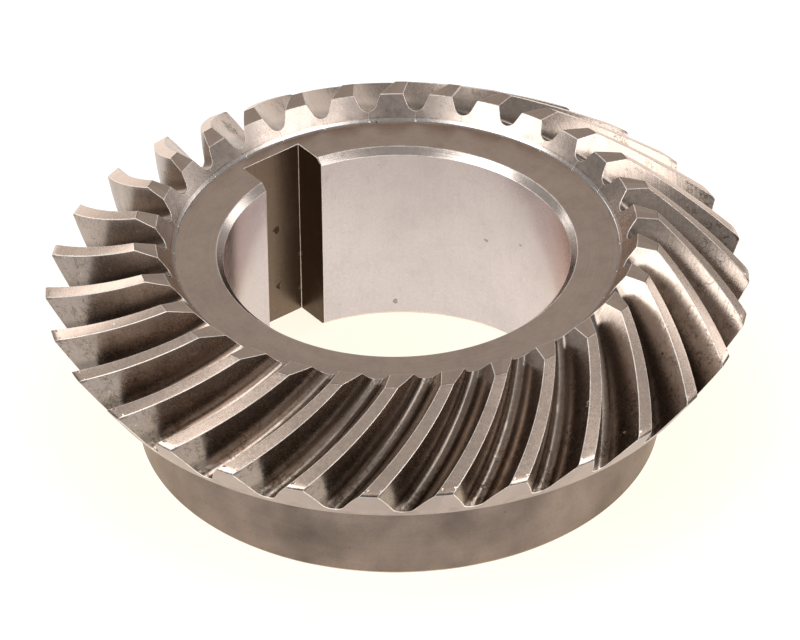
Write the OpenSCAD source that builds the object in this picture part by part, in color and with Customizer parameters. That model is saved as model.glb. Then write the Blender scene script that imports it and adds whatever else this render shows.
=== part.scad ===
// Spiral bevel gear: one steel ring with a keyed bore, a hub and thirty curved teeth
// The bore axis is Z, the mounting face of the hub lies on z = 0, and the keyway is on the +Y side
// All the tooth cones meet in one point on the axis, the pitch apex, high above the gear

/* [Teeth] */
// Number of teeth on this gear
teeth = 30; // [26:1:34]
// Number of teeth on the mating pinion, which sets the pitch angle of both
pinion_teeth = 24; // [22:1:28]
// Module at the outer end of the teeth
outer_module = 6.5; // [6.2:0.05:6.8]
// Height of a tooth above the pitch cone, at its outer end
addendum = 6.8; // [5:0.1:7.5]
// Depth of a tooth space below the pitch cone, at its outer end
dedendum = 6.4; // [5:0.1:7]
// Pressure angle of the flanks, square to the tooth
pressure_angle = 20; // [14.5:0.5:22]
// Spiral angle at the middle of the teeth, right hand
spiral_angle = 35; // [0:1:40]
// Radius at the foot of each flank, at the outer end of the tooth
root_radius = 1.3; // [0.4:0.1:2]
// Turn of the outer ends of the tooth spaces away from the keyway
tooth_phase = -0.4; // [-6:0.1:6]

/* [Blank] */
// Height of the pitch apex above the mounting face
apex_height = 120; // [116:0.5:124]
// Diameter where the flat front edge of the teeth meets the face cone
crest_d = 151.2; // [146:0.2:158]
// Diameter of the inner corner of the flat front edge, where the inner cone begins
front_d = 138.8; // [134:0.2:144]
// Diameter where the inner cone of the teeth would meet the front face
face_d = 128.4; // [126:0.2:131]
// Radius of the turned cove between the front face and that cone
cove_radius = 1; // [0.3:0.1:2]
// Depth of the front face below the flat front edge
recess = 6.6; // [4:0.1:8]
// Lean of the back of the teeth away from the axis
back_angle = 34; // [28:0.5:40]
// Length of the back, from the tips of the teeth to the flange corner
back_length = 16.3; // [14.5:0.1:18]

/* [Hub] */
// Diameter of the hub below the flange
hub_d = 152; // [130:0.5:160]
// Chamfer around the foot of the hub
hub_chamfer = 1; // [0.2:0.1:3]

/* [Bore] */
// Diameter of the bore
bore_d = 100; // [70:0.5:104]
// Chamfer at the front end of the bore
bore_chamfer = 2; // [0.2:0.1:3]
// Chamfer at the mounting face end of the bore
bore_back_chamfer = 0.8; // [0.2:0.1:2]
// Width of the keyway
key_width = 20; // [10:0.5:28]
// Depth of the keyway beyond the bore
key_depth = 10; // [3:0.1:11]

/* [Hidden] */
$fn = 180;
steel = [0.53, 0.47, 0.43];
// Overlap where a cutter runs out of the metal
cut_over = 1;

// Pitch cone
pitch_angle = atan(teeth / pinion_teeth);
pitch_r = teeth * outer_module / 2;
cone_distance = pitch_r / sin(pitch_angle);
pitch_point = [pitch_r, apex_height - pitch_r / tan(pitch_angle)];
// Direction in a radial section that stands square on the pitch cone
square = [cos(pitch_angle), sin(pitch_angle)];

// Face cone, from the tips at the outer end to the flat front edge
tip = pitch_point + addendum * square;
face_slope = (apex_height - tip[1]) / tip[0];
crest = [crest_d / 2, apex_height - crest_d / 2 * face_slope];
front_edge = [front_d / 2, crest[1]];
front_face_z = crest[1] - recess;
flange_corner = tip - back_length * [sin(back_angle), cos(back_angle)];

// Cove at the foot of the inner cone, from the cone to the front face
cone_foot = [face_d / 2, front_face_z];
inner_lean = atan2(front_edge[1] - cone_foot[1], front_edge[0] - cone_foot[0]);
cove_centre = cone_foot + cove_radius * [-tan(inner_lean / 2), 1];
cove_steps = 5;
cove = [for (i = [0 : cove_steps])
    let (a = inner_lean * (1 - i / cove_steps) - 90)
    cove_centre + cove_radius * [cos(a), sin(a)]];

// Lead of the teeth: they turn by the same angle for each millimetre of cone distance
toe_distance = norm([front_edge[0], apex_height - front_edge[1]]);
mean_distance = (cone_distance + toe_distance) / 2;
turn_per_mm = tan(spiral_angle) / (mean_distance * sin(pitch_angle)) * 180 / PI;

// Tooth space at the outer end, in a section square to the pitch cone
// A point there is [half width along the pitch circle, height above the pitch cone]
flank_slope = tan(pressure_angle) / cos(spiral_angle);
flank_lean = atan(flank_slope);
space_half = pitch_r * PI / teeth / 2;
root_half = space_half - dedendum * flank_slope;
fillet_steps = 3;
fillet_centre = [root_half - root_radius * tan(45 - flank_lean / 2), root_radius - dedendum];
space_top = addendum + cut_over;
fillet = [for (i = [0 : fillet_steps])
    let (a = -90 + (90 - flank_lean) * i / fillet_steps)
    fillet_centre + root_radius * [cos(a), sin(a)]];
half_space = concat(fillet, [[space_half + space_top * flank_slope, space_top]]);
other_half = [for (i = [len(half_space) - 1 : -1 : 0]) [-half_space[i][0], half_space[i][1]]];
space_outline = concat(half_space, other_half);

// The space runs from inside the front edge to outside the back of the teeth
run_in = 5;
run_out = 4.5;
inner_scale = (toe_distance - run_in) / cone_distance;
outer_scale = (cone_distance + run_out) / cone_distance;
sections = 9;

// A point of the tooth space, drawn toward the apex by scale k and turned by the lead
function space_point(p, k) =
    let (
        flat = pitch_point + p[1] * square,
        turn = 90 + tooth_phase + p[0] / flat[0] * 180 / PI + turn_per_mm * cone_distance * (1 - k)
    )
    [k * flat[0] * cos(turn), k * flat[0] * sin(turn), apex_height - k * (apex_height - flat[1])];

// One tooth space as a solid, skinned over its sections
module tooth_space() {
    n = len(space_outline);
    skin_points = [for (j = [0 : sections - 1])
        let (k = inner_scale + (outer_scale - inner_scale) * j / (sections - 1))
        for (p = space_outline) space_point(p, k)];
    sides = [for (j = [0 : sections - 2], i = [0 : n - 1])
        let (a = j * n + i, b = j * n + (i + 1) % n)
        each [[a, a + n, b], [b, a + n, b + n]]];
    inner_end = [for (i = [0 : n - 1]) i];
    outer_end = [for (i = [n - 1 : -1 : 0]) (sections - 1) * n + i];
    polyhedron(skin_points, concat(sides, [inner_end, outer_end]), convexity = 4);
}

// The turned blank, with its bore
module blank() {
    bore_r = bore_d / 2;
    hub_r = hub_d / 2;
    rotate_extrude()
        polygon([
            [bore_r + bore_back_chamfer, 0],
            [hub_r - hub_chamfer, 0],
            [hub_r, hub_chamfer],
            [hub_r, flange_corner[1]],
            flange_corner,
            tip,
            crest,
            front_edge,
            each cove,
            [bore_r + bore_chamfer, front_face_z],
            [bore_r, front_face_z - bore_chamfer],
            [bore_r, bore_back_chamfer]
        ]);
}

// Straight keyway through the whole bore
module keyway() {
    key_reach = bore_d / 2 + key_depth;
    translate([-key_width / 2, 0, -cut_over])
        cube([key_width, key_reach, front_face_z + 2 * cut_over]);
}

module bevel_gear() {
    color(steel)
        difference() {
            blank();
            keyway();
            for (i = [0 : teeth - 1])
                rotate(360 / teeth * i)
                    tooth_space();
        }
}

bevel_gear();
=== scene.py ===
import math

import bmesh
import bpy
from mathutils import Matrix, Vector


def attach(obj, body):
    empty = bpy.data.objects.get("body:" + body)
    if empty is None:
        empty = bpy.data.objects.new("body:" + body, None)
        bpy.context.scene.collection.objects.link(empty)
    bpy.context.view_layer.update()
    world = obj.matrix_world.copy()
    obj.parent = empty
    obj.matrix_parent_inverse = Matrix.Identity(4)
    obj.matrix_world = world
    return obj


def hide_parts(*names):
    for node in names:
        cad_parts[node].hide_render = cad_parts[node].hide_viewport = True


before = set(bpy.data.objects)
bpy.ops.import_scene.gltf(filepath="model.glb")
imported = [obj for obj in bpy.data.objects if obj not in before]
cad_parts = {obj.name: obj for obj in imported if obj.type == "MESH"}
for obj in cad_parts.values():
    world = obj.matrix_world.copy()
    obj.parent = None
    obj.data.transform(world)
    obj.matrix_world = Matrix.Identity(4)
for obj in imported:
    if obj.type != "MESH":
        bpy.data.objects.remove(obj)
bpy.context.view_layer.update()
print("frame loaded, with nodes", sorted(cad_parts))

# The gear's own driving sizes, in millimetres and degrees
gear = {
    "teeth": 30,
    "pinionTeeth": 24,
    "outerModule": 6.5,
    "addendum": 6.8,
    "dedendum": 6.4,
    "pressureAngle": 20,
    "spiralAngle": 35,
    "rootRadius": 2.9,          # at the foot of the flanks, at the heel
    "toeDedendum": 5.4,         # at the toe the root is shallower and fully round, in outer end sizes
    "toeRadius": 4.0,
    "flankBend": 0.0164,        # gain of the flank's slope for each mm up a tooth, as on an involute
    "toothPhase": -0.4,
    "apexHeight": 120,
    "crestD": 151.2,
    "frontD": 138.8,
    "faceD": 128.4,
    "coveRadius": 1,
    "recess": 6.6,
    "backAngle": 34,
    "backLength": 16.3,
    "hubD": 152,
    "hubRound": 1.3,            # rounded foot of the hub
    "hubRows": 4,
    "boreD": 100,
    "boreChamfer": 2,
    "boreBackChamfer": 0.8,
    "keyWidth": 20,
    "keyDepth": 10,
    "edgeBreak": 0.16,          # small break on every other edge
    "heelStart": 2.0,           # rounded outer corner of the teeth: where it leaves the tops
    "heelEnd": (0.17, 0.55),    # and how far inside and below the tip it reaches the back
    "heelRows": 5,
    "edgeRows": 3,              # the first of those rows also round the edges of the tooth tops
    "lengthRows": 34,           # mesh rows along a tooth
    "flankRows": 7,             # mesh rows down a flank below the toe corner
    "flatRows": 2,              # mesh rows down a flank between the heel corner and the toe corner
    "filletRows": 6,
    "coveRows": 4,
    "landColumns": 2,           # mesh columns on half a tooth top
    "turnedColumns": 12,        # mesh columns for each tooth on the turned faces
    "keyOver": 1,               # how far the keyway cutter runs past both faces
    "sliver": 0.35,             # narrow faces beside the keyway that are welded away
    "weld": 0.01,               # points this near are one, where two sectors meet
    "sharp": 30,                # edges sharper than this are broken
    "breakSegments": 2,
    "normalWeight": 80,         # how much large faces lead the shading across the edge breaks
}
mm = 0.001


def mix(a, b, t):
    return a + (b - a) * t


class Cones:
    # where the cones, corners and turns of the gear lie, worked out from its driving sizes
    def __init__(self, g):
        self.pitchAngle = math.atan(g["teeth"] / g["pinionTeeth"])
        self.pitchR = g["teeth"] * g["outerModule"] / 2
        self.distance = self.pitchR / math.sin(self.pitchAngle)
        self.apexZ = g["apexHeight"]
        self.pitchZ = self.apexZ - self.pitchR / math.tan(self.pitchAngle)
        self.square = (math.cos(self.pitchAngle), math.sin(self.pitchAngle))
        self.tip = self.outerPoint(g["addendum"])
        faceSlope = (self.apexZ - self.tip[1]) / self.tip[0]
        self.crestZ = self.apexZ - g["crestD"] / 2 * faceSlope
        self.frontEdge = (g["frontD"] / 2, self.crestZ)
        self.faceZ = self.crestZ - g["recess"]
        self.coneFoot = (g["faceD"] / 2, self.faceZ)
        lean = math.atan2(self.crestZ - self.faceZ, self.frontEdge[0] - self.coneFoot[0])
        coveR = g["coveRadius"]
        self.cove = []
        for i in range(g["coveRows"] + 1):
            a = mix(lean, 0, i / g["coveRows"]) - math.pi / 2
            self.cove.append((self.coneFoot[0] + coveR * (math.cos(a) - math.tan(lean / 2)),
                              self.faceZ + coveR * (1 + math.sin(a))))
        back = math.radians(g["backAngle"])
        self.flangeCorner = (self.tip[0] - g["backLength"] * math.sin(back),
                             self.tip[1] - g["backLength"] * math.cos(back))
        # rounded heel corner, from the tooth top down to the back
        faceLength = math.hypot(self.tip[0], self.apexZ - self.tip[1])
        share = g["heelStart"] / faceLength
        start = (self.tip[0] * (1 - share), mix(self.tip[1], self.apexZ, share))
        end = (self.tip[0] - g["heelEnd"][0], self.tip[1] - g["heelEnd"][1])
        self.heel = []
        for i in range(g["heelRows"] + 1):
            t = i / g["heelRows"]
            self.heel.append(tuple(mix(mix(s, m, t), mix(m, e, t), t)
                                   for s, m, e in zip(start, self.tip, end)))
        self.heel.append(self.flangeCorner)
        toeDistance = math.hypot(self.frontEdge[0], self.apexZ - self.frontEdge[1])
        meanDistance = (self.distance + toeDistance) / 2
        lead = math.tan(math.radians(g["spiralAngle"])) / (meanDistance * math.sin(self.pitchAngle))
        self.fullTurn = math.degrees(lead) * self.distance      # turn from the outer end to the apex
        self.phase = 90 + g["toothPhase"]
        self.halfPitch = 180 / g["teeth"]

    def outerPoint(self, height):
        # radius and z of a point at the outer end, at a height above the pitch cone
        return self.pitchR + height * self.square[0], self.pitchZ + height * self.square[1]

    def scaleOn(self, height, a, b):
        # how far toward the apex the line of that height is when it crosses the line a-b
        r, z = self.outerPoint(height)
        down = self.apexZ - z
        dr, dz = b[0] - a[0], b[1] - a[1]
        return ((a[0] * dz - a[1] * dr) + self.apexZ * dr) / (r * dz + down * dr)

    def turnAt(self, k):
        return self.phase + self.fullTurn * (1 - k)

    def ring(self, height, k):
        r, z = self.outerPoint(height)
        return k * r, self.apexZ - k * (self.apexZ - z)

    def at(self, angle, height, k):
        # angle, radius and z of a point, from its angle beside the middle of the tooth space
        r, z = self.ring(height, k)
        return angle + self.turnAt(k), r, z


def spaceProfile(g, c, dedendum, radius):
    # a tooth space at the outer end, from one tooth top down to the root and up to the next
    # each point is (distance beside the middle, height above the pitch cone)
    slope = math.tan(math.radians(g["pressureAngle"])) / math.cos(math.radians(g["spiralAngle"]))
    bend = g["flankBend"] / 2
    lean = math.degrees(math.atan(slope - bend * (g["addendum"] + dedendum)))       # at the flank's foot
    spaceHalf = c.pitchR * math.pi / g["teeth"] / 2
    rootHalf = spaceHalf - dedendum * slope
    centre = (rootHalf - radius * math.tan(math.radians(45 - lean / 2)), radius - dedendum)
    cornerHeight = heightThrough(c, c.frontEdge)
    heights = [g["addendum"]] + [heightThrough(c, p) for p in c.heel[1:-2]]
    heelEnd = heightThrough(c, c.heel[-2])
    heights += [mix(heelEnd, cornerHeight, i / g["flatRows"]) for i in range(g["flatRows"])]
    filletTop = centre[1] - radius * math.sin(math.radians(lean))
    heights += [mix(cornerHeight, filletTop, i / g["flankRows"]) for i in range(g["flankRows"])]
    half = [(spaceHalf + h * slope + bend * (h - g["addendum"]) * (h + dedendum), h) for h in heights]
    # the edge of the tooth top is rubbed round
    rounded = g["edgeRows"]
    (topW, topH), (endW, endH) = half[0], half[rounded]
    for i in range(rounded + 1):
        t = i / rounded
        half[i] = (mix(mix(topW + topH - endH, topW, t), mix(topW, endW, t), t), heights[i])
    for i in range(g["filletRows"] + 1):
        a = math.radians(-lean - (90 - lean) * i / g["filletRows"])
        half.append((centre[0] + radius * math.cos(a), centre[1] + radius * math.sin(a)))
    return [(-w, h) for w, h in half] + [(0, half[-1][1])] + [(w, h) for w, h in reversed(half)]


def heightThrough(c, point):
    # height above the pitch cone, at the outer end, of the line from the apex through a point
    down = c.apexZ - point[1]
    along = point[0] * math.sin(c.pitchAngle) + down * math.cos(c.pitchAngle)
    above = point[0] * math.cos(c.pitchAngle) - down * math.sin(c.pitchAngle)
    return above / along * c.distance


class Skin:
    # gathers points given as angle, radius and z, and the faces between them
    def __init__(self):
        self.points, self.faces, self.wornAndGlint = [], [], []

    def point(self, angle, r, z):
        a = math.radians(angle)
        self.points.append((r * math.cos(a) * mm, r * math.sin(a) * mm, z * mm))
        return len(self.points) - 1

    def grid(self, rows, wornAndGlint=0.0):
        index = [[self.point(*p) for p in row] for row in rows]
        for a, b in zip(index, index[1:]):
            for i in range(len(a) - 1):
                self.faces.append((a[i], a[i + 1], b[i + 1], b[i]))
                self.wornAndGlint.append(wornAndGlint)

    def plate(self, outer, inner):
        # one flat face between two runs of points, both in the same direction
        self.faces.append([self.point(*p) for p in outer] + [self.point(*p) for p in reversed(inner)])
        self.wornAndGlint.append(0.0)


def toothSector(g, c):
    # one tooth space with half a tooth on each side, and its share of every turned face
    atHeel = spaceProfile(g, c, g["dedendum"], g["rootRadius"])
    atToe = spaceProfile(g, c, g["toeDedendum"], g["toeRadius"])
    last = len(atHeel) - 1
    heel = g["heelRows"]
    flats = heel + g["flatRows"]
    rows = range(g["lengthRows"] + 1)
    columns = range(g["landColumns"] + 1)
    crest = (g["crestD"] / 2, c.crestZ)

    def spacePoint(point, k):
        w, h = point
        return c.at(math.degrees(w / c.outerPoint(h)[0]), h, k)

    def frontScale(i):
        h = atToe[i][1]
        if flats < i < last - flats:
            return c.scaleOn(h, c.frontEdge, c.coneFoot)
        return c.scaleOn(h, crest, c.frontEdge)

    def backScale(i):
        row = min(i, last - i, heel)
        return c.scaleOn(atHeel[i][1], c.heel[row], c.heel[row + 1])

    def flankLine(i):
        # points along the tooth, from the toe to the heel
        line = []
        for j in rows:
            t = j / g["lengthRows"]
            point = [mix(a, b, t) for a, b in zip(atToe[i], atHeel[i])]
            line.append(spacePoint(point, mix(frontScale(i), backScale(i), t)))
        return line

    def toothSide(profile, i, k, side):
        # points from the edge of the space to the middle of the tooth
        w, h = profile[i]
        beside = math.degrees(w / c.outerPoint(h)[0])
        return [c.at(mix(beside, side * c.halfPitch, n / g["landColumns"]), h, k) for n in columns]

    skin = Skin()
    edge = g["edgeRows"]
    for first, end, wornAndGlint in ((0, edge, 1.0), (edge, last - edge, 0.0), (last - edge, last, 1.0)):
        skin.grid([flankLine(i) for i in range(first, end + 1)], wornAndGlint)
    for side, top, step in ((-1, 0, 1), (1, last, -1)):
        scales = [mix(frontScale(top), backScale(top), j / g["lengthRows"]) for j in rows]
        skin.grid([toothSide(atHeel, top, k, side) for k in scales])
        for profile, scaleOf, end in ((atToe, frontScale, flats), (atHeel, backScale, heel)):
            places = range(top, top + step * (end + 1), step)
            skin.grid([toothSide(profile, i, scaleOf(i), side) for i in places])

    def rim(profile, first, scaleOf):
        # the edge of the tooth and of its space, from one tooth middle to the next
        run = list(reversed(toothSide(profile, first, scaleOf(first), -1)))
        run += [spacePoint(profile[i], scaleOf(i)) for i in range(first + 1, last - first)]
        return run + toothSide(profile, last - first, scaleOf(last - first), 1)

    frontRim = rim(atToe, flats, frontScale)
    backRim = rim(atHeel, heel, backScale)
    coveRings = [[(a, *corner) for a, r, z in frontRim] for corner in c.cove]
    flangeRing = [(a, *c.flangeCorner) for a, r, z in backRim]
    skin.grid([frontRim, *coveRings])
    skin.grid([backRim, flangeRing])

    # turned faces have even columns, and the window of the hub is a whole number of columns round
    start = frontRim[0][0]
    column = 2 * c.halfPitch / g["turnedColumns"]
    hubStart = start - column * round((start - flangeRing[0][0]) / column)

    def turned(first, r, z):
        return [(first + column * n, r, z) for n in range(g["turnedColumns"] + 1)]

    boreR, hubR = g["boreD"] / 2, g["hubD"] / 2
    mouth = turned(start, boreR + g["boreChamfer"], c.faceZ)
    skin.plate(coveRings[-1], mouth)
    skin.grid([mouth,
               turned(start, boreR, c.faceZ - g["boreChamfer"]),
               turned(start, boreR, g["boreBackChamfer"]),
               turned(start, boreR + g["boreBackChamfer"], 0),
               turned(start, hubR - g["hubRound"], 0)])
    foot = []
    for i in range(g["hubRows"] + 1):
        a = math.radians(90 * i / g["hubRows"])
        inside, up = g["hubRound"] * (1 - math.sin(a)), g["hubRound"] * (1 - math.cos(a))
        foot.append(turned(hubStart, hubR - inside, up))
    hubTop = turned(hubStart, hubR, c.flangeCorner[1])
    skin.grid([*foot, hubTop])
    skin.plate(flangeRing, hubTop)
    mesh = bpy.data.meshes.new("toothSector")
    mesh.from_pydata(skin.points, [], skin.faces)
    mesh.attributes.new("wornAndGlint", "FLOAT", "FACE").data.foreach_set("value", skin.wornAndGlint)
    return mesh


def repeatTree(material):
    # a node tree that turns its sector round the Z axis, once for each tooth, and welds the copies
    tree = bpy.data.node_groups.new("repeatTeeth", "GeometryNodeTree")
    tree.is_modifier = True
    tree.interface.new_socket(name="Geometry", in_out="INPUT", socket_type="NodeSocketGeometry")
    tree.interface.new_socket(name="Teeth", in_out="INPUT", socket_type="NodeSocketInt")
    tree.interface.new_socket(name="Weld Distance", in_out="INPUT", socket_type="NodeSocketFloat")
    tree.interface.new_socket(name="Geometry", in_out="OUTPUT", socket_type="NodeSocketGeometry")
    nodes, link = tree.nodes, tree.links.new
    given = nodes.new("NodeGroupInput")
    result = nodes.new("NodeGroupOutput")
    points = nodes.new("GeometryNodePoints")
    index = nodes.new("GeometryNodeInputIndex")
    share = nodes.new("ShaderNodeMath")
    share.operation = "DIVIDE"
    angle = nodes.new("ShaderNodeMath")
    angle.operation = "MULTIPLY"
    angle.inputs[1].default_value = 2 * math.pi
    turn = nodes.new("ShaderNodeCombineXYZ")
    place = nodes.new("GeometryNodeInstanceOnPoints")
    realize = nodes.new("GeometryNodeRealizeInstances")
    weld = nodes.new("GeometryNodeMergeByDistance")
    paint = nodes.new("GeometryNodeSetMaterial")
    paint.inputs["Material"].default_value = material
    link(given.outputs["Teeth"], points.inputs["Count"])
    link(index.outputs[0], share.inputs[0])
    link(given.outputs["Teeth"], share.inputs[1])
    link(share.outputs[0], angle.inputs[0])
    link(angle.outputs[0], turn.inputs["Z"])
    link(points.outputs[0], place.inputs["Points"])
    link(given.outputs["Geometry"], place.inputs["Instance"])
    link(turn.outputs[0], place.inputs["Rotation"])
    link(place.outputs[0], realize.inputs[0])
    link(realize.outputs[0], weld.inputs["Geometry"])
    link(given.outputs["Weld Distance"], weld.inputs["Distance"])
    link(weld.outputs[0], paint.inputs["Geometry"])
    link(paint.outputs[0], result.inputs[0])
    return tree


def bake(obj):
    # the evaluated shape as a plain mesh, with no modifier left
    graph = bpy.context.evaluated_depsgraph_get()
    mesh = bpy.data.meshes.new_from_object(obj.evaluated_get(graph))
    obj.modifiers.clear()
    obj.data = mesh
    return mesh


def newObject(name, mesh):
    obj = bpy.data.objects.new(name, mesh)
    bpy.context.scene.collection.objects.link(obj)
    return obj


def repeatSector(obj, g, material):
    # thirty copies of the sector become one closed ring
    tree = repeatTree(material)
    repeat = obj.modifiers.new("repeat", "NODES")
    repeat.node_group = tree
    inputs = {s.name: s.identifier for s in tree.interface.items_tree if s.in_out == "INPUT"}
    repeat[inputs["Teeth"]] = g["teeth"]
    repeat[inputs["Weld Distance"]] = g["weld"] * mm
    mesh = bake(obj)
    bm = bmesh.new()
    bm.from_mesh(mesh)
    bmesh.ops.recalc_face_normals(bm, faces=bm.faces)
    print("ring:", len(bm.faces), "faces,", sum(1 for e in bm.edges if not e.is_manifold), "open edges")
    for face in bm.faces:
        face.material_index = 0
    bm.to_mesh(mesh)
    bm.free()
    mesh.materials.clear()
    mesh.materials.append(material)
    mesh.materials.append(material)     # the second slot is for the worn edges, which also carry the painted edge glint


def cutKeyway(obj, g, top):
    # through the whole bore, on the +Y side
    reach = g["boreD"] / 2 + g["keyDepth"]
    cutterMesh = bpy.data.meshes.new("keyCutter")
    bm = bmesh.new()
    bmesh.ops.create_cube(bm, size=1)
    for v in bm.verts:
        level = mix(-g["keyOver"], top + g["keyOver"], v.co.z + 0.5)
        v.co = Vector((v.co.x * g["keyWidth"], (v.co.y + 0.5) * reach, level)) * mm
    bm.to_mesh(cutterMesh)
    bm.free()
    cutter = newObject("keyCutter", cutterMesh)
    cut = obj.modifiers.new("keyway", "BOOLEAN")
    cut.operation = "DIFFERENCE"
    cut.solver = "EXACT"
    cut.object = cutter
    mesh = bake(obj)
    bpy.data.objects.remove(cutter)
    # the cut leaves slivers beside the keyway, narrower than the edge break
    bm = bmesh.new()
    bm.from_mesh(mesh)
    nearBore = [v for v in bm.verts if math.hypot(v.co.x, v.co.y) < (reach + g["boreChamfer"]) * mm]
    bmesh.ops.remove_doubles(bm, verts=nearBore, dist=g["sliver"] * mm)
    bm.to_mesh(mesh)
    bm.free()


def breakEdges(obj, g):
    edges = obj.modifiers.new("edges", "BEVEL")
    edges.width = g["edgeBreak"] * mm
    edges.segments = g["breakSegments"]
    edges.limit_method = "ANGLE"
    edges.angle_limit = math.radians(g["sharp"])
    edges.use_clamp_overlap = False
    edges.material = 1              # puts the new faces in the second slot
    mesh = bake(obj)
    wornAndGlint = mesh.attributes["wornAndGlint"].data
    for p in mesh.polygons:
        wornAndGlint[p.index].value = max(wornAndGlint[p.index].value, min(p.material_index, 1))
        p.material_index = 0
    mesh.shade_smooth()


def makeGear(g, material):
    c = Cones(g)
    obj = newObject("gearRing", toothSector(g, c))
    repeatSector(obj, g, material)
    cutKeyway(obj, g, c.faceZ)
    breakEdges(obj, g)
    weigh = obj.modifiers.new("normals", "WEIGHTED_NORMAL")
    weigh.weight = g["normalWeight"]
    mesh = bake(obj)
    mesh.materials.clear()
    mesh.materials.append(material)
    triangles = sum(len(p.vertices) - 2 for p in mesh.polygons)
    print("gear:", len(mesh.polygons), "faces,", triangles, "triangles")
    return obj


class Value:
    # a socket that takes part in Python arithmetic, which adds Math nodes
    def __init__(self, tree, socket):
        self.tree, self.socket = tree, socket

    def math(self, operation, *others):
        return self.tree.add("ShaderNodeMath", {"operation": operation}, [self, *others])

    def __add__(self, other):
        return self.math("ADD", other)

    def __sub__(self, other):
        return self.math("SUBTRACT", other)

    def __mul__(self, other):
        return self.math("MULTIPLY", other)

    def __truediv__(self, other):
        return self.math("DIVIDE", other)

    def __pow__(self, other):
        return self.math("POWER", other)

    def __rsub__(self, other):
        return self.tree.add("ShaderNodeMath", {"operation": "SUBTRACT"}, [other, self])

    def __rtruediv__(self, other):
        return self.tree.add("ShaderNodeMath", {"operation": "DIVIDE"}, [other, self])

    __radd__ = __add__
    __rmul__ = __mul__

    def band(self, low, high):
        # 0 below low and 1 above high, smooth between them, and the other way round if high is below low
        rising = self.tree.add("ShaderNodeMapRange", {"interpolation_type": "SMOOTHSTEP"},
                               {"Value": self, "From Min": min(low, high), "From Max": max(low, high)})
        return 1 - rising if high < low else rising

    def above(self, edge, soft=0.1):
        return self.band(edge - soft, edge + soft)

    def below(self, edge, soft=0.1):
        return self.band(edge + soft, edge - soft)

    def between(self, low, high, soft=0.1):
        return self.above(low, soft) * self.below(high, soft)


class Tree:
    # a shader node tree: add() makes any node, sets its settings, then fills its sockets
    def __init__(self, nodeTree):
        self.nodes, self.links = nodeTree.nodes, nodeTree.links
        self.nodes.clear()

    def add(self, kind, settings=None, sockets=None, out=0):
        node = self.nodes.new(kind)
        for name, value in (settings or {}).items():
            setattr(node, name, value)
        items = enumerate(sockets) if isinstance(sockets, list) else (sockets or {}).items()
        for key, value in items:
            socket = node.inputs[key] if isinstance(key, int) else self.find(node.inputs, key)
            if isinstance(value, Value):
                self.links.new(value.socket, socket)
            else:
                socket.default_value = value
        if not node.outputs:
            return None
        return Value(self, node.outputs[out] if isinstance(out, int) else self.find(node.outputs, out))

    def find(self, sockets, key):
        return next(s for s in sockets if key in (s.identifier, s.name))

    def clamp(self, value):
        return self.add("ShaderNodeClamp", None, {"Value": value})

    def blendVector(self, mask, a, b):
        return self.add("ShaderNodeMix", {"data_type": "VECTOR"},
                        {"Factor_Float": mask, "A_Vector": a, "B_Vector": b}, "Result_Vector")

    def blend(self, mask, a, b, mode="MIX"):
        # colours through a Mix node
        return self.add("ShaderNodeMix", {"data_type": "RGBA", "blend_type": mode},
                        {"Factor_Float": mask, "A_Color": a, "B_Color": b}, "Result_Color")


def newMaterial(name):
    material = bpy.data.materials.new(name)
    material.use_nodes = True
    return material, Tree(material.node_tree)


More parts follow.
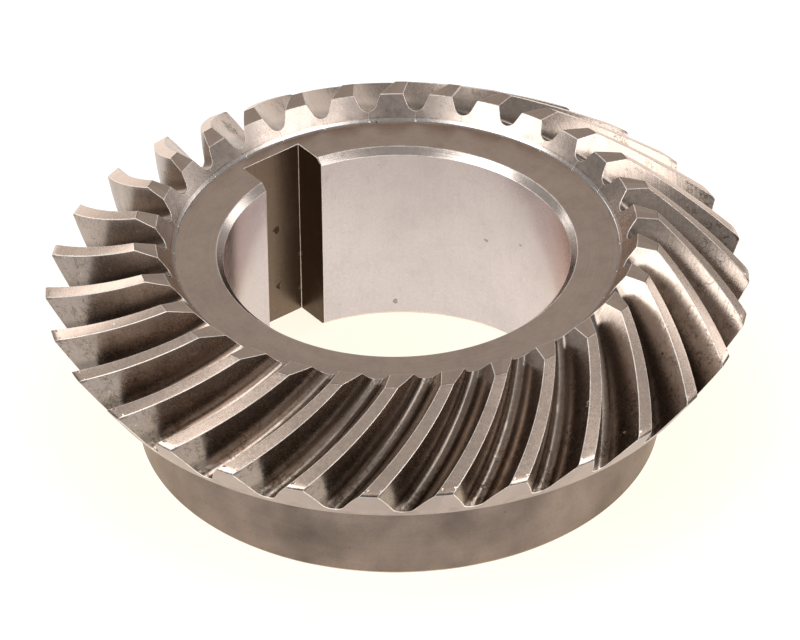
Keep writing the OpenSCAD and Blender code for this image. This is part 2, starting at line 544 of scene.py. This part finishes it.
# colours and finishes of the steel; the numbers after a colour are its roughness and its share of stains
steel = {
    # the flank steel comes in two copies: this darker one is painted shade in the tooth spaces
    "flank": ((0.325, 0.272, 0.238, 1), 0.25, 0.8),
    "litFlank": ((0.445, 0.36, 0.305, 1), 0.23, 0.6),      # painted highlight: a brighter copy of the flank steel on one side of every tooth space, for the flanks that catch the lamps
    "root": ((0.37, 0.302, 0.256, 1), 0.31, 0.9),
    "toothTop": ((0.75, 0.59, 0.49, 1), 0.27, 0.14),
    "innerCone": ((0.44, 0.365, 0.32, 1), 0.28, 0.35),
    "cove": ((0.56, 0.495, 0.46, 1), 0.25, 0.1),
    "toeFlat": ((0.74, 0.565, 0.46, 1), 0.29, 0.15),
    "face": ((0.75, 0.57, 0.465, 1), 0.30, 0.12),
    "back": ((0.365, 0.315, 0.325, 1), 0.31, 0.4),
    "hub": ((0.237, 0.188, 0.168, 1), 0.38, 0.4),
    "under": ((0.62, 0.53, 0.49, 1), 0.34, 0.2),
    "chamfer": ((0.66, 0.57, 0.515, 1), 0.22, 0.02),
    "bore": ((0.66, 0.598, 0.635, 1), 0.23, 0.12),
    # keyway walls and floor: darkened as painted shade in the recess, with rust and tool marks on top
    "shadedKeyway": ((0.21, 0.155, 0.12, 1), 0.34, 0.7),
    # the wall of the keyway on the +X side, darker still as painted shadow
    "keyShadowWall": ((0.09, 0.06, 0.042, 1), 0.34, 0.3),
    "wornAndGlint": (0.95, 0.86, 0.79, 1),      # bare metal on rubbed edges, brightened further as a painted highlight for the edge glints
    "stain": (0.22, 0.16, 0.12, 1),
    "rust": (0.14, 0.105, 0.078, 1),
    "edgeTint": (1, 0.92, 0.85, 1),     # colour of the reflections seen at a low angle
    "toothSeed": 50.5,
    # scales of the noises, per mm
    "cloud": 0.045, "mottle": 0.20, "vein": 0.36, "speckle": 0.9, "grain": 3.0,
    # how strongly each zone shows rust, tool marks, clouds and mottling, and how deep the tool marks are
    "rustShare": {"all": 0.05, "flank": 0.5, "hub": 0.4, "shadedKeyway": 0.5},
    "toolTone": {"all": 0.0, "turned": 0.14, "flank": 0.20, "bore": 0.05, "shadedKeyway": 0.2},
    "toolDepth": {"all": 0.0, "turned": 0.010, "flank": 0.012, "bore": 0.004, "shadedKeyway": 0.010},
    "cloudTone": {"all": 0.12, "hub": 1.5, "face": 0.2, "bore": 0.25},
    "mottleTone": {"all": 0.0, "face": 0.4, "hub": 0.4, "back": 0.4, "toothTop": 0.4, "innerCone": 0.5,
                   "root": 0.8},
    # single marks: place in mm, radius, depth (below 0 for a dent, 0 for a stain), brightness
    "marks": [
        ((1.3, 60.0, 32.1), 1.3, -0.30, 0.35),      # pits in the keyway
        ((1.6, 60.0, 12.0), 1.0, -0.25, 0.40),
        ((9.9, 60.0, 19.9), 0.9, -0.30, 1.9),       # nicks on the keyway corner
        ((9.7, 60.0, 7.6), 0.8, -0.30, 1.8),
        ((34.6, 54.3, 59.4), 0.5, -0.15, 0.45),     # nick on the cove
        ((-84.0, 23.6, 57.7), 0.6, -0.10, 1.7),     # line across a tooth top
        ((46.6, 18.1, 31.5), 0.6, -0.15, 0.55),     # marks in the bore
        ((49.7, 5.5, 35.4), 0.5, -0.15, 0.60),
        ((29.8, 40.1, 4.9), 0.9, -0.15, 0.55),
        ((-0.7, -88.8, 56.0), 0.8, -0.20, 1.9),     # nicks on the teeth
        ((-33.8, -83.8, 39.8), 1.0, -0.25, 1.8),
        ((7.9, -94.8, 45.3), 0.6, -0.10, 1.8),
        ((37.2, -76.7, 59.0), 1.2, -0.15, 1.5),
        ((9.9, 92.4, 46.6), 2.6, -0.20, 0.55),      # pitted flanks
        ((7.3, 92.2, 49.6), 2.2, -0.20, 0.60),
    ],
}


def machinedSteel(s, g):
    material, t = newMaterial("machinedSteel")
    c = Cones(g)
    here = t.add("ShaderNodeTexCoord", out="Object")
    place = t.add("ShaderNodeVectorMath", {"operation": "SCALE"}, {"Vector": here, "Scale": 1 / mm})
    x, y, z = (t.add("ShaderNodeSeparateXYZ", None, [place], axis) for axis in "XYZ")
    r = (x * x + y * y) ** 0.5
    theta = y.math("ARCTAN2", x)

    def noise(where, scale, detail=2.0, rough=0.5):
        return t.add("ShaderNodeTexNoise", None,
                     {"Vector": where, "Scale": scale, "Detail": detail, "Roughness": rough})

    def together(*parts):
        return t.add("ShaderNodeCombineXYZ", None, list(parts))

    def chance(number, seed=0.0):
        # the same random number for one tooth or one tooth space all over it
        number = number.math("FLOORED_MODULO", float(g["teeth"])) + seed
        return t.add("ShaderNodeTexWhiteNoise", {"noise_dimensions": "1D"}, {"W": number})

    # where the point lies among the teeth: share of the way out, height above the pitch cone,
    # and distance beside the middle of its tooth space
    sine, cosine = math.sin(c.pitchAngle), math.cos(c.pitchAngle)
    down = c.apexZ - z
    k = (r * sine + down * cosine) / c.distance
    height = (r * cosine - down * sine) / k
    offset = theta * (180 / math.pi) - c.phase - (1 - k) * c.fullTurn
    pitch = 2 * c.halfPitch
    spaceNumber = (offset / pitch + 0.5).math("FLOOR")
    toothNumber = (offset / pitch).math("FLOOR")
    across = (offset - spaceNumber * pitch) * r * (math.pi / 180)
    spaceLuck, toothLuck = chance(spaceNumber), chance(toothNumber, s["toothSeed"])

    # zones of the surface, each a mask that is 1 inside it
    heelEnd, corner = c.heel[-2], c.flangeCorner
    back = math.atan2(heelEnd[0] - corner[0], heelEnd[1] - corner[1])
    lean = math.atan2(c.frontEdge[1] - c.coneFoot[1], c.frontEdge[0] - c.coneFoot[0])
    coneR, flangeZ, faceZ = c.coneFoot[0], corner[1], c.faceZ
    boreR, hubR, keyHalf = g["boreD"] / 2, g["hubD"] / 2, g["keyWidth"] / 2
    chamfer = g["boreChamfer"]
    intoCone = (z - faceZ) * math.cos(lean) - (r - coneR) * math.sin(lean)
    outOfBack = (r - corner[0]) * math.cos(back) - (z - flangeZ) * math.sin(back)
    atTeeth = r.above(coneR + 1.0, 0.2) * z.above(flangeZ + 0.3)
    onRoot = height.below(1.6 - g["dedendum"], 0.6) * atTeeth
    onTop = height.above(g["addendum"] - 0.175, 0.075) * atTeeth
    onCone = intoCone.above(-0.2) * atTeeth
    onCove = r.between(coneR - 0.35, coneR + 1.0) * z.between(faceZ - 0.3, faceZ + 1.0)
    onToe = z.above(c.crestZ - 0.15, 0.05)
    onFace = z.above(faceZ - 0.1, 0.05) * r.below(coneR - 0.3)
    onBack = outOfBack.above(-0.175, 0.075) * z.above(flangeZ + 0.2)
    onHub = r.above(hubR - 1.1) * z.below(flangeZ + 0.2)
    onUnder = z.below(0.85) * r.above(boreR + 0.6)
    onChamfer = r.below(boreR + chamfer) * z.above(faceZ - chamfer) * z.below(faceZ - 0.07, 0.05)
    onBore = r.below(boreR + 0.175, 0.075) * z.below(faceZ - chamfer)
    inKey = x.math("ABSOLUTE").below(keyHalf + 0.225, 0.075) * z.between(0.1, faceZ - 0.12, 0.06)
    inKey = inKey * y.between(boreR - 0.9, boreR + g["keyDepth"] + 0.2)
    zones = {
        # the first zone is one side of every tooth space, painted brighter as a highlight
        "litFlank": across.above(0, 0.3), "root": onRoot, "toothTop": onTop, "innerCone": onCone,
        "cove": onCove, "toeFlat": onToe, "face": onFace, "back": onBack, "hub": onHub,
        "under": onUnder, "chamfer": onChamfer, "bore": onBore, "shadedKeyway": inKey,
        # the +X wall of the keyway gets the painted shadow colour
        "keyShadowWall": inKey * x.above(keyHalf - 0.2),
    }
    colour, rough, dirty = s["flank"]
    for name, mask in zones.items():
        paint, finish, share = s[name]
        colour = t.blend(mask, colour, paint)
        rough = mask * (finish - rough) + rough
        dirty = mask * (share - dirty) + dirty
    onFlank = atTeeth * (1 - onTop) * (1 - onCone) * (1 - onToe) * (1 - onBack)
    zones["flank"] = onFlank
    zones["turned"] = onFace + onBack + onHub + onUnder + onChamfer

    def spread(shares):
        # a value over the whole surface, from its share in each zone
        total = shares["all"]
        for name, share in shares.items():
            if name != "all":
                total = zones[name] * share + total
        return total

    # stains, veins and rust, from broad clouds down to single grains
    cloud = noise(place, s["cloud"], 2.0, 0.6)
    mottle = noise(place, s["mottle"], 3.0, 0.65)
    speckle = noise(place, s["speckle"], 2.0, 0.6)
    grain = noise(place, s["grain"], 1.0)
    luck = (onTop * (toothLuck - spaceLuck) + spaceLuck - 0.5) * atTeeth
    stained = (mottle.band(0.50, 0.72) * 0.5 + cloud.band(0.48, 0.70) * 0.3) * dirty * (luck * 0.8 + 1)
    colour = t.blend(stained, colour, s["stain"])
    nearVein = (noise(place, s["vein"], 2.0, 0.6) - 0.5).math("ABSOLUTE")
    veins = nearVein.band(0.045, 0.0) * k.band(0.80, 0.92) * onFlank * mottle.band(0.42, 0.56)
    rusty = mottle.band(0.58, 0.74) * speckle.band(0.45, 0.62) * spread(s["rustShare"])
    grime = speckle.band(0.40, 0.56) * mottle.band(0.36, 0.52) * k.band(0.88, 1.0) * onRoot * (1 - onBack)
    colour = t.blend(rusty + grime * 0.9 + veins * 0.8, colour, s["rust"])

    # tool marks: slanting lines down the flanks, rings on the turned faces, lines along the bore
    along = k * c.distance
    way = together(along * 1.5 + height * 0.5, across * 0.18, height * 0.14)
    rings = together(r * 2.6 + theta.math("COSINE"), z * 2.6, theta.math("SINE"))
    way = t.blendVector(zones["turned"], way, rings)
    way = t.blendVector(onBore + inKey, way, together(x * 1.1, y * 1.1, z * 0.07))
    tool = noise(way, 1.0, 1.0) - 0.5

    # scratches: thin contour lines of a stretched noise, broken up by the mottling
    stretched = together(x * 0.6 + y * 0.4, y * 0.12 - x * 0.17, z * 0.5)
    nearLine = (noise(stretched, 1.0, 1.0) - 0.5).math("ABSOLUTE")
    scratch = nearLine.band(0.01, 0.0) * mottle.band(0.50, 0.58) * (1 - inKey - onHub)

    # dark pits, more of them where stained and at the toe, and small bright nicks on the flanks
    toePits = (grain.band(0.56, 0.66) * k.band(0.76, 0.66) * (onFlank + onCone * 0.7)
               * mottle.band(0.42, 0.56))
    pits = speckle.band(0.66, 0.73) * (mottle.band(0.46, 0.60) * 0.75 + 0.25) * (dirty * 1.2 + 0.1)
    pits = pits.math("MAXIMUM", toePits)
    nicks = speckle.band(0.72, 0.76) * onFlank * (1 - mottle.band(0.38, 0.46))

    # light and dark: grains, tool marks, pits, the luck of each tooth, clouds and mottling, then painted
    # shade low on the flanks, on the heel corners and up the bore
    tone = (grain - 0.5) * 0.22 + (speckle - 0.5) * (dirty * 0.4 + 0.12) + 1.0
    tone = (tone + tool * spread(s["toolTone"])) * (1 - pits * 0.55) * (luck * 0.16 + 1.0)
    tone = tone * ((cloud - 0.5) * spread(s["cloudTone"]) + 1.0)
    tone = tone * ((mottle - 0.5) * spread(s["mottleTone"]) + 1.0)
    # painted shade: darker low on the flanks near the roots, on the rounded heel corners of the teeth, and
    # up the bore towards its top
    shadedLowFlank = height.band(-0.5, -3.0) * height.band(-5.4, -4.6) * onFlank
    shadedHeelBand = height.band(5.7, 6.2) * height.band(6.75, 6.6) * k.band(0.98, 0.99)
    tone = tone * (1 - shadedLowFlank * 0.4) * (1 - onBore * z.band(25, 57) * 0.14) * (1 - shadedHeelBand * 0.45)

    # depth in mm
    depth = (grain - 0.5) * 0.004 + (speckle - 0.5) * (dirty * 0.010 + 0.003)
    depth = depth + tool * spread(s["toolDepth"]) + (mottle - 0.5) * 0.03 * dirty
    for centre, radius, dent, bright in s["marks"]:
        far = t.add("ShaderNodeVectorMath", {"operation": "DISTANCE"}, [place, centre], "Value")
        spot = (far + (speckle - 0.5) * (radius * 3)).band(radius * 0.9, radius * 0.5)
        tone = tone * (spot * (bright - 1) + 1)
        if dent:
            depth = depth + spot * dent

    # rubbed edges show bright metal, made brighter still as a painted highlight for the edge glints
    wornAndGlint = t.add("ShaderNodeAttribute", {"attribute_name": "wornAndGlint"}, out="Fac")
    rubbedAndGlint = wornAndGlint * (mottle.band(0.30, 0.50) * 0.5 + 0.5)
    colour = t.blend(t.clamp(rubbedAndGlint + scratch * 0.3 + nicks * 0.7), colour, s["wornAndGlint"])
    colour = t.blend(1.0, colour, tone, "MULTIPLY")
    rough = rough + (speckle - 0.5) * 0.12 + (cloud - 0.5) * 0.08
    rough = rough + stained * 0.10 + pits * 0.12 + rubbedAndGlint * 0.24
    bump = t.add("ShaderNodeBump", None, {"Strength": 1.0, "Distance": mm, "Height": depth})
    shader = t.add("ShaderNodeBsdfPrincipled", None, {
        "Base Color": colour, "Metallic": 1.0, "Roughness": t.clamp(rough), "Normal": bump,
        "Specular Tint": s["edgeTint"]})
    t.add("ShaderNodeOutputMaterial", None, {"Surface": shader})
    print("steel done, with", len(t.nodes), "nodes")
    return material


studio = {
    "heading": 52.64,           # way the camera looks, from +X round to +Y, in degrees
    "elevation": 36.137,
    "roll": -0.829,
    "distance": 2.5411,
    "aim": (0.0, 0.0, 0.05939),  # middle of the front face
    "aimRight": 0.0009,         # how far the view centre lies beside and below that point
    "aimDown": 0.0203,
    "lens": 397.2,
    "sensor": 36.0,
    "floorSize": 3.0,
    "floorPaint": (0.30, 0.30, 0.31, 1),
    "nearShadowTint": (1, 0.94, 0.78, 1),     # painted shadow: the paper's glow is tinted cream near the gear
    "farTint": (1, 1, 1, 1),
    "shadowTintReach": (0.08, 0.16),          # and turns white between these distances from the middle
    "paperGlow": 0.93,
    "room": 0.35,
    # softboxes: turn from the camera's heading (+ to the right), height angle, distance, size, radiance
    "softboxes": [
        ("left", -123, 33, 1.3, (0.99, 0.9), 3.8),
        ("right", 129, 33, 1.3, (0.85, 0.8), 3.3),
        ("backLeft", -45, 23, 1.5, (0.46, 0.4), 2.2),
        ("backRight", 62, 22, 1.5, (0.40, 0.40), 2.3),
    ],
}


def outward(way, rise):
    # direction from the middle of the scene, from its angle round from +X and its height angle
    return Vector((math.cos(way) * math.cos(rise), math.sin(way) * math.cos(rise), math.sin(rise)))


def makeCamera(s):
    heading, tilt, roll = (math.radians(s[n]) for n in ("heading", "elevation", "roll"))
    ahead = -outward(heading + math.pi, tilt)
    right = Vector((math.sin(heading), -math.cos(heading), 0))
    up = right.cross(ahead)
    right, up = right * math.cos(roll) + up * math.sin(roll), up * math.cos(roll) - right * math.sin(roll)
    place = Vector(s["aim"]) + right * s["aimRight"] - up * s["aimDown"] - ahead * s["distance"]
    camera = bpy.data.objects.new("camera", bpy.data.cameras.new("camera"))
    camera.data.lens = s["lens"]
    camera.data.sensor_width = s["sensor"]
    camera.data.sensor_fit = "HORIZONTAL"
    camera.data.clip_end = 50
    camera.matrix_world = Matrix.Translation(place) @ Matrix((right, up, -ahead)).transposed().to_4x4()
    bpy.context.scene.collection.objects.link(camera)
    bpy.context.scene.camera = camera


def makeLamps(s):
    for name, turn, height, distance, size, radiance in s["softboxes"]:
        lamp = bpy.data.lights.new(name, "AREA")
        lamp.shape = "RECTANGLE"
        lamp.size, lamp.size_y = size
        lamp.energy = radiance * math.pi * size[0] * size[1]
        obj = bpy.data.objects.new(name, lamp)
        out = outward(math.radians(s["heading"] - turn), math.radians(height))
        facing = out.to_track_quat("Z", "Y").to_matrix().to_4x4()
        obj.matrix_world = Matrix.Translation(out * distance) @ facing
        obj.visible_camera = False
        bpy.context.scene.collection.objects.link(obj)


def paperRays(t):
    # 1 for what the camera sees straight, in a mirror or through glass
    rays = "ShaderNodeLightPath"
    seen = t.add(rays, out="Is Camera Ray").math("MAXIMUM", t.add(rays, out="Is Glossy Ray"))
    return seen.math("MAXIMUM", t.add(rays, out="Is Transmission Ray"))


def makeRoom(s):
    world = bpy.data.worlds.new("room")
    world.use_nodes = True
    bpy.context.scene.world = world
    t = Tree(world.node_tree)
    back = t.add("ShaderNodeBackground", None, {"Color": (1, 1, 1, 1), "Strength": s["room"]})
    t.add("ShaderNodeOutputWorld", None, {"Surface": back})


def makeFloor(s):
    material, t = newMaterial("paleFloor")
    paper = t.add("ShaderNodeBsdfDiffuse", None, {"Color": s["floorPaint"]})
    here = t.add("ShaderNodeTexCoord", out="Object")
    away = t.add("ShaderNodeVectorMath", {"operation": "LENGTH"}, [here], "Value")
    # painted shadow on the floor: the glow is cream near the gear and white further out
    tint = t.blend(away.band(*s["shadowTintReach"]), s["nearShadowTint"], s["farTint"])
    glow = t.add("ShaderNodeEmission", None, {"Color": tint, "Strength": paperRays(t) * s["paperGlow"]})
    both = t.add("ShaderNodeAddShader", None, [paper, glow])
    t.add("ShaderNodeOutputMaterial", None, {"Surface": both})
    mesh = bpy.data.meshes.new("floor")
    bm = bmesh.new()
    bmesh.ops.create_circle(bm, cap_ends=True, segments=96, radius=s["floorSize"] / 2)
    bm.to_mesh(mesh)
    bm.free()
    mesh.materials.append(material)
    floor = newObject("floor", mesh)


scene = bpy.context.scene
scene.view_settings.view_transform = "Standard"
makeCamera(studio)
makeLamps(studio)
makeRoom(studio)
makeFloor(studio)
print("studio done")

ring = makeGear(gear, machinedSteel(steel, gear))
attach(ring, "root")
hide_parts("bevel_gear")
